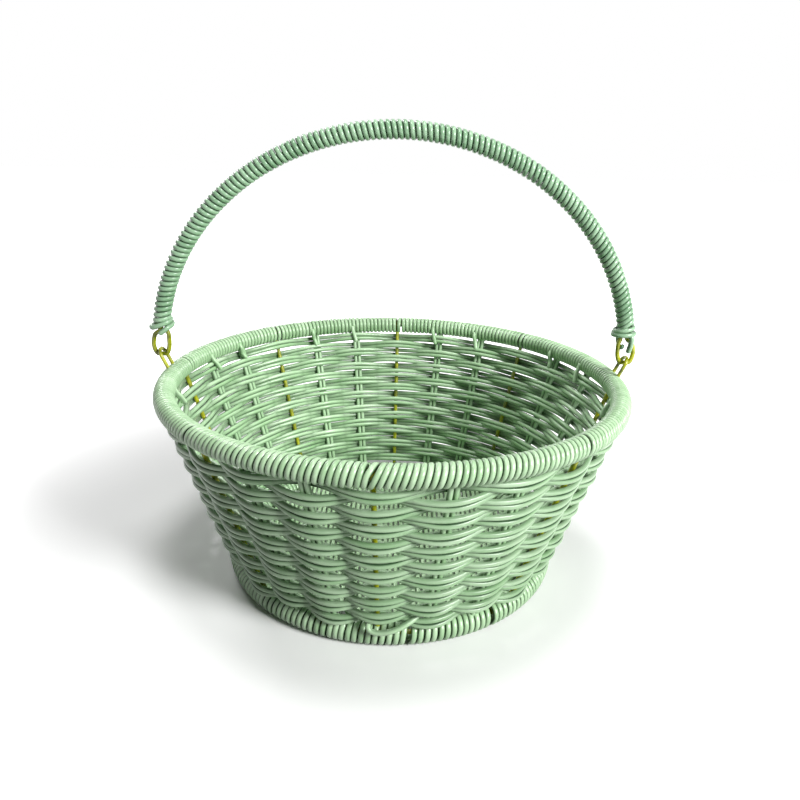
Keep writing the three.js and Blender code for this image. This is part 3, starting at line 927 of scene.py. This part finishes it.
# %% Floor strand
rng = np.random.default_rng(31)
half_turn = np.linspace(0, math.pi, 9)[1:-1]
turn_radius = floor_pitch / 2
floor_lines = []
floor_tones = []
start = -run_end(last_run)
for run in range(-last_run, last_run + 1):
    side = 1 if (run + last_run) % 2 == 0 else -1
    edge = min(run_end(run), run_end(run + 1)) if run < last_run else run_end(run)
    end = side * (edge - turn_radius)
    x = run * floor_pitch
    floor_lines.append(floor_run(x, start, end, rng.uniform(0, most_sag)))
    floor_tones.append(np.full(len(floor_lines[-1]), rng.uniform(-0.8, 0.8)))
    if run < last_run:
        floor_lines.append(np.stack([x + turn_radius * (1 - np.cos(half_turn)),
                                     end + side * turn_radius * np.sin(half_turn),
                                     np.full_like(half_turn, floor_height)], -1))
        floor_tones.append(np.full(len(half_turn), floor_tones[-1][-1]))
    start = end
floor = Bundle()
floor.add_strand(np.concatenate(floor_lines), np.array([0.0, 0.0, 1.0]), strand_thickness, sides=12,
                 tone=np.concatenate(floor_tones), shade=flank_shade(12, seam_shade, seam_shade, 6),
                 squareness=2.2)
faces = place_piece(floor, "floor_strands", ["floor_strand"], "basket", floor_plastic_painted_light)
print(2 * last_run + 1, "runs in the floor,", faces, "faces")

# %% [markdown]
# ## The handle
#
# The handle is one wire, bent to half an oval, with an eye at each end that hooks into a loop on the rim. Its
# wrapping is wound like the rim's. A curve object could hold the oval, but the winding needs the length along
# it, and an oval's length has no plain formula. So a table of 2,001 short steps turns a length into an angle.

# %% The handle's own sizes
pivot_height = frame["joints"][0]["pos_m"][2]
wrap_low, wrap_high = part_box("handle_wrap")
handle_wrap_radius = (wrap_high.y - wrap_low.y) / 2
handle_rise = wrap_high.z - handle_wrap_radius - pivot_height
knot_low, knot_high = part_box("handle_knot_right")
knot_height = (knot_low.z + knot_high.z) / 2 - pivot_height
knot_x = (knot_low.x + knot_high.x) / 2
handle_half_span = knot_x / math.sqrt(1 - (knot_height / handle_rise) ** 2)
wrap_start = 19 * mm  # height above the pivots at which the wrapping starts
print(f"pivots at {pivot_height:.4f}, rise {handle_rise:.4f}, half span {handle_half_span:.4f}")

# %% The line of the handle
def handle_oval(angle):
    """Point of the half oval in its own plane: (half span * cos(a), rise * sin(a)), from the pivots."""
    return np.stack([handle_half_span * np.cos(angle), handle_rise * np.sin(angle)], -1)


def in_space(flat):
    """Points of the handle's plane, put into X, Y and Z."""
    return np.stack([flat[:, 0], np.zeros(len(flat)), pivot_height + flat[:, 1]], -1)


def length_along(points):
    """Distance along a line of points, at each of them."""
    return np.concatenate([[0.0], np.cumsum(np.linalg.norm(np.diff(points, axis=0), axis=1))])


def handle_place(distance):
    """For a distance along the half oval from its right end, the point there and the directions straight
    out of it, (cos(a) / half span, sin(a) / rise), and across it."""
    table = np.linspace(0, math.pi, 2001)
    angle = np.interp(distance, length_along(handle_oval(table)), table)
    out = unit(np.stack([np.cos(angle) / handle_half_span, np.zeros_like(angle),
                         np.sin(angle) / handle_rise], -1))
    return in_space(handle_oval(angle)), out, np.array([0.0, 1.0, 0.0])


def handle_length(height):
    """Distance along the handle from its right pivot to a height above the pivots."""
    return length_along(handle_oval(np.linspace(0, math.asin(height / handle_rise), 200)))[-1]


print("the handle's half oval is", round(2 * handle_length(handle_rise), 4), "m long")

# %% [markdown]
# The handle's turns lean as the rim's do. Towards its two ends they are pulled further askew, so their lean
# is interpolated between five sizes along the handle.

# %% Handle wrapping
rng = np.random.default_rng(8)
handle_pitch = 2.84 * mm
lean_places = [0, 0.1, 0.3, 0.7, 1]  # shares of the way from the right end to the left one
lean_sizes = [1.9 * mm, 1.1 * mm, 0.3 * mm, 0.2 * mm, 0.9 * mm]  # the turns near the ends are pulled askew
handle_lean_start = math.radians(-110)  # they lean most on the side that faces the basket's front
wrap_from = handle_length(wrap_start)
wrap_length = 2 * handle_length(handle_rise) - 2 * wrap_from
handle_turns = round(wrap_length / handle_pitch)
places = wrap_from + turn_places(rng, handle_turns, wrap_length, 0.03, [], 0.0)
turns = np.linspace(0, handle_turns, handle_turns * steps_per_turn + 1)
turn = 2 * math.pi * turns
handle_lean = np.interp(turns / handle_turns, lean_places, lean_sizes)
distance = np.interp(turns, np.arange(handle_turns + 1), places)
distance = distance + handle_lean * np.sin(turn - handle_lean_start)
tone = np.interp(turns, np.arange(handle_turns), rng.uniform(-1, 1, handle_turns))
line, facing = wound_line(handle_place, distance, turn, handle_wrap_radius - strand_thickness / 2)
wrapping = Bundle()
wrapping.add_strand(line, facing, strand_thickness, 2.7 * mm, sides=wrap_sides, tone=tone,
                    shade=flank_shade(wrap_sides, seam_shade, seam_shade, 4))
faces = place_piece(wrapping, "handle_wrapping", ["handle_wrap"], "handle", handle_plastic)
print(handle_turns, "turns round the handle,", faces, "faces")

# %% [markdown]
# Below the wrapping the wire opens into an eye, runs round it and back up, and its end lies beside itself
# under the first turns. The eye's bottom is level, with a quarter oval on each side. The right eye is set out
# as points from the handle's own line, and the left one is its mirror image.

# %% Handle wire with its eyes
eye_half_width = 4.2 * mm
eye_bend_height = 6.2 * mm  # above the pivots, where the eye is widest
eye_level = 1.75 * mm  # half of the level stretch at its bottom
beside = wire_thickness + 0.3 * mm  # from the wire's middle to its returned end
neck = knot_height - 3.5 * mm  # where the two wires part, below the knot
shoulder = neck - 2.2 * mm
left_neck, right_neck = -beside - 0.3 * mm, 0.9 * mm
left_shoulder, right_shoulder = -eye_half_width * 0.93, eye_half_width * 0.8
hidden_end = wrap_start - 1.5 * mm


def handle_reach(height):
    """Distance of the handle's line from the basket's axis at a height above the pivots."""
    return handle_half_span * np.sqrt(1 - (height / handle_rise) ** 2)


angle = np.linspace(0, math.pi / 2, 7)
across = eye_level + (eye_half_width - eye_level) * np.cos(angle)
rise = eye_bend_height * (1 - np.sin(angle))
eye = [(-beside, hidden_end), (-beside, knot_height), (left_neck, neck), (left_shoulder, shoulder)]
eye += list(zip(-across, rise)) + list(zip(across[::-1], rise[::-1]))
eye += [(right_shoulder, shoulder), (right_neck, neck), (0.0, knot_height), (0.0, wrap_start)]
eye = smooth_line(eye, 5)
first_angle = math.asin(wrap_start / handle_rise)
arch = handle_oval(np.linspace(first_angle, math.pi - first_angle, 90))
right_end = np.stack([handle_reach(eye[:, 1]) + eye[:, 0], eye[:, 1]], -1)
left_end = right_end[::-1] * [-1, 1]
handle_wire = Bundle()
handle_wire.add_strand(in_space(np.concatenate([right_end, arch[1:-1], left_end])), np.array([0.0, 1.0, 0.0]),
                       wire_thickness, sides=16, squareness=2)
faces = place_piece(handle_wire, "handle_rod", ["handle_wire"], "handle", wire_lacquer)
print("handle wire:", faces, "faces")

# %% [markdown]
# A loop is a staple of thinner wire that stands on the rim hoop and leans outwards: two legs, joined by half
# a circle. The handle's eye hangs in it, and turns there when the handle swings.

# %% Rim loops
loop_height = 15.6 * mm
loop_half_width = 4 * mm
loop_lean = math.radians(24)
leg_steps = 12
bend_centre = loop_height - loop_half_width
for name, direction in [("rim_loop_right", 1), ("rim_loop_left", -1)]:
    angle = np.linspace(math.pi, 0, 25)
    leg = np.linspace(wire_thickness / 2, bend_centre, leg_steps, endpoint=False)
    across = np.concatenate([np.full(leg_steps, -loop_half_width), loop_half_width * np.cos(angle),
                             np.full(leg_steps, loop_half_width)])
    rise = np.concatenate([leg, bend_centre + loop_half_width * np.sin(angle), leg[::-1]])
    line = np.stack([direction * (rim_radius + rise * math.sin(loop_lean)), across,
                     rim_height + rise * math.cos(loop_lean)], -1)
    facing = np.array([direction * math.cos(loop_lean), 0.0, -math.sin(loop_lean)])
    loop = Bundle()
    loop.add_strand(line, facing, loop_wire_thickness, sides=16, squareness=2)
    place_piece(loop, name.replace("rim_loop", "rim_staple"), [name], "basket", wire_lacquer)
print("two rim loops,", round(loop_height, 4), "m high")

# %% [markdown]
# The strand of the handle's wrapping is made fast below the last turn, and the two ends differ. At the right
# it goes loosely round the two wires once, then in a flat turn, and its tail hangs down in the eye with the
# cut end of the first turn behind it. At the left it goes round one and a half times on a slant, and its cut
# end shows in front. A knot could be tied by a simulation, but a handful of points gives this one as it is.

# %% Strands of the knots
turn = np.linspace(-1.1 * math.pi, 0.85 * math.pi, 50)


def knot_turn(half_width, half_depth, shift, height, slant, climb):
    """Oval turn in mm: x = half width * cos(a) + shift, y = half depth * sin(a), and z = height + slant *
    cos(a) + climb * a / pi."""
    return np.stack([half_width * np.cos(turn) + shift, half_depth * np.sin(turn),
                     height + slant * np.cos(turn) + climb * turn / math.pi], -1)


right_turn = knot_turn(5.4, 4.1, -1.2, 0.0, 0.1, 0.5)
right_loose_turn = knot_turn(4.7, 4.2, -1.3, 2.4, 1.1, 0.0)
right_tail = smooth_line([(2.0, -2.4, 0.5), (2.4, -3.6, -2.5), (2.3, -3.2, -6.0), (1.9, -2.4, -9.5)], 8)
right_stub = smooth_line([(-2.6, 2.2, 0.0), (-3.2, 2.6, -3.0), (-2.9, 1.4, -6.0), (-1.6, -0.4, -8.0),
                          (-1.1, -1.2, -6.6)], 8)
left_turns = smooth_line([(4.6, 2.0, 2.6), (4.2, -2.8, 1.9), (0.5, -4.2, 0.4), (-3.8, -3.2, -1.2),
                          (-5.3, 0.0, -1.1), (-3.5, 3.4, -0.3), (0.5, 4.1, 0.4), (4.6, 2.6, 0.7),
                          (5.5, -0.6, 0.0), (4.2, -3.9, -1.0), (1.8, -4.6, -2.8), (0.4, -4.6, -4.0)], 8)
knot_strands = {  # points in mm from the node's middle, thickness in mm and tone
    "handle_knot_right": [(right_turn, 2.6, 0.2), (right_loose_turn, 2.4, 0.6), (right_tail, 2.8, 0.8),
                          (right_stub, 2.1, 0.2)],
    "handle_knot_left": [(left_turns, 2.6, 0.5)],
}
print("strands in the knots:", [len(strands) for strands in knot_strands.values()])

# %% Knots at the ends of the handle
for name, strands in knot_strands.items():
    low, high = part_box(name)
    centre = np.array([(low.x + high.x) / 2, 0.0, (low.z + high.z) / 2])
    knot = Bundle()
    for points, thickness, tone in strands:
        outward = unit(points * [1, 1, 0] + [0, 0, 1e-6])
        knot.add_strand(centre + points * mm, outward, thickness * mm, tone=tone,
                        shade=flank_shade(12, 0.5, 0.5, 3))
    place_piece(knot, name.replace("handle_knot", "knot_turns"), [name], "handle", handle_plastic)
print("knots:", ", ".join(knot_strands))

# %% [markdown]
# ## Camera, floor and light
#
# The camera stands where the photographer's did, close to the basket and a little above its rim. It was found
# by fitting the ellipses of the rim and the base, and the two ends of the handle. A camera looks along its
# own -Z, and so does a lamp, so one helper turns both.

# %% Camera
camera_place = np.array([0.0, -354.16, 223.08]) * mm
camera_elevation = 0.3218  # angles in radians
camera_pitch, camera_yaw, camera_roll = -0.0323, -0.0100, -0.0193
camera_focus = 679.88 / 800  # focal length as a share of the picture's width
sensor_width = 36


def aim(thing, right, up, back, place):
    """Places a camera or lamp: the columns of its matrix are its own X, Y and Z and its place."""
    matrix = np.eye(4)
    matrix[:3] = np.stack([right, up, back, place], axis=1)
    thing.matrix_world = Matrix(matrix.tolist())


forward = np.array([0, math.cos(camera_elevation), -math.sin(camera_elevation)])
right = np.array([1.0, 0, 0])
axes = np.stack([right, np.cross(right, forward), forward])
for angle, axis in [(camera_yaw, "Y"), (camera_pitch, "X"), (camera_roll, "Z")]:
    axes = np.array(Matrix.Rotation(angle, 3, axis)) @ axes
camera_data = bpy.data.cameras.new("camera")
camera_data.sensor_width = sensor_width
camera_data.lens = camera_focus * sensor_width
camera_data.clip_start = 0.01
camera = bpy.data.objects.new("camera", camera_data)
bpy.context.scene.collection.objects.link(camera)
aim(camera, axes[0], axes[1], -axes[2], camera_place)
bpy.context.scene.camera = camera
print("lens", round(camera_data.lens, 2), "mm")

# %% [markdown]
# The picture's background is white. A white floor under a strong light would do that, but it would throw
# light back up at the basket and wash out its dark gaps. So the floor is white only for rays that the camera
# sees, directly, in a reflection or through glass, and grey for the light that it throws back. It starts to
# glow white only at some distance, and near the basket it keeps the shadow.

# %% Studio floor
floor_grey = 0.3
glow_start, glow_end = 2 * base_radius, 5 * base_radius  # distances from the basket's axis
floor_half = 6.0


def seen_rays(tree):
    """Socket that is 1 for rays of the camera, of a reflection or through glass, and 0 for all others."""
    path = add_node(tree, "ShaderNodeLightPath")
    return maths(tree, "MAXIMUM", path.outputs["Is Camera Ray"],
                 maths(tree, "MAXIMUM", path.outputs["Is Glossy Ray"], path.outputs["Is Transmission Ray"]))


floor_material = bpy.data.materials.new("studio floor")
floor_material.use_nodes = True
tree = floor_material.node_tree
shader = tree.nodes["Principled BSDF"]
shader.inputs["Roughness"].default_value = 0.9
shader.inputs["Emission Color"].default_value = colour(1, 1, 1)
seen = seen_rays(tree)
tree.links.new(mix_colours(tree, seen, colour(floor_grey, floor_grey, floor_grey), colour(1, 1, 1)),
               shader.inputs["Base Color"])
ground = add_node(tree, "ShaderNodeTexCoord")
level = add_node(tree, "ShaderNodeVectorMath", {1: (1, 1, 0)}, operation="MULTIPLY")
tree.links.new(ground.outputs["Object"], level.inputs[0])
from_middle = add_node(tree, "ShaderNodeVectorMath", operation="LENGTH")
tree.links.new(level.outputs[0], from_middle.inputs[0])
glow = add_node(tree, "ShaderNodeMapRange", {"From Min": glow_start, "From Max": glow_end},
                interpolation_type="SMOOTHSTEP")
tree.links.new(from_middle.outputs["Value"], glow.inputs["Value"])
tree.links.new(maths(tree, "MULTIPLY", seen, glow.outputs[0]), shader.inputs["Emission Strength"])
mesh = bpy.data.meshes.new("studio_floor")
corners = [(-1, -1), (1, -1), (1, 1), (-1, 1)]
mesh.from_pydata([(x * floor_half, y * floor_half, 0) for x, y in corners], [], [(0, 1, 2, 3)])
mesh.materials.append(floor_material)
studio_floor = bpy.data.objects.new("studio_floor", mesh)
bpy.context.scene.collection.objects.link(studio_floor)
print("studio floor glows from", round(glow_start, 3), "to", round(glow_end, 3), "m")

# %% [markdown]
# The world behind the floor is seen white, too. It gives almost no light of its own, because light from all
# sides at once would fill the dark gaps.

# %% White world
world_light = 0.02  # what the world gives to the light on the basket
world = bpy.data.worlds.new("studio")
bpy.context.scene.world = world
world.use_nodes = True
tree = world.node_tree
background = tree.nodes["Background"]
background.inputs["Color"].default_value = colour(1, 1, 1)
tree.links.new(maths(tree, "MULTIPLY_ADD", seen_rays(tree), 1 - world_light, world_light),
               background.inputs["Strength"])
print("the world is seen at strength 1 and lights at", world_light)

# %% [markdown]
# Three soft lamps light the basket. The key stands at the right front, so the left of the inside is bright
# and the right of it dark. The top lamp lights the rim and the handle, and the back lamp what is seen from
# behind. An area lamp of power P at a distance r gives a white surface that faces it a brightness of P /
# (pi * r) ** 2. Together the three give a level surface about 1.3, and the front wall a little over 0.5.

# %% Lamps
lamp_target = np.array([0, 0, 0.08])
lamps = [  # name, place, size in metres and power in watts
    ("key", (1.0, -0.85, 0.78), 0.45, 29),
    ("top", (0.05, -0.05, 1.4), 0.4, 8),
    ("back", (-0.7, 1.0, 0.9), 0.5, 8),
]
for name, place, size, power in lamps:
    data = bpy.data.lights.new(name, "AREA")
    data.size = size
    data.energy = power
    lamp = bpy.data.objects.new(name, data)
    bpy.context.scene.collection.objects.link(lamp)
    away = np.array(place) - lamp_target
    back = unit(away)
    side = unit(np.cross([0, 0, 1], back))
    aim(lamp, side, np.cross(back, side), back, place)
    print(name, "lamp gives", round(power / (math.pi ** 2 * away @ away), 2), "on a white that faces it")
bpy.context.scene.view_settings.view_transform = "Standard"
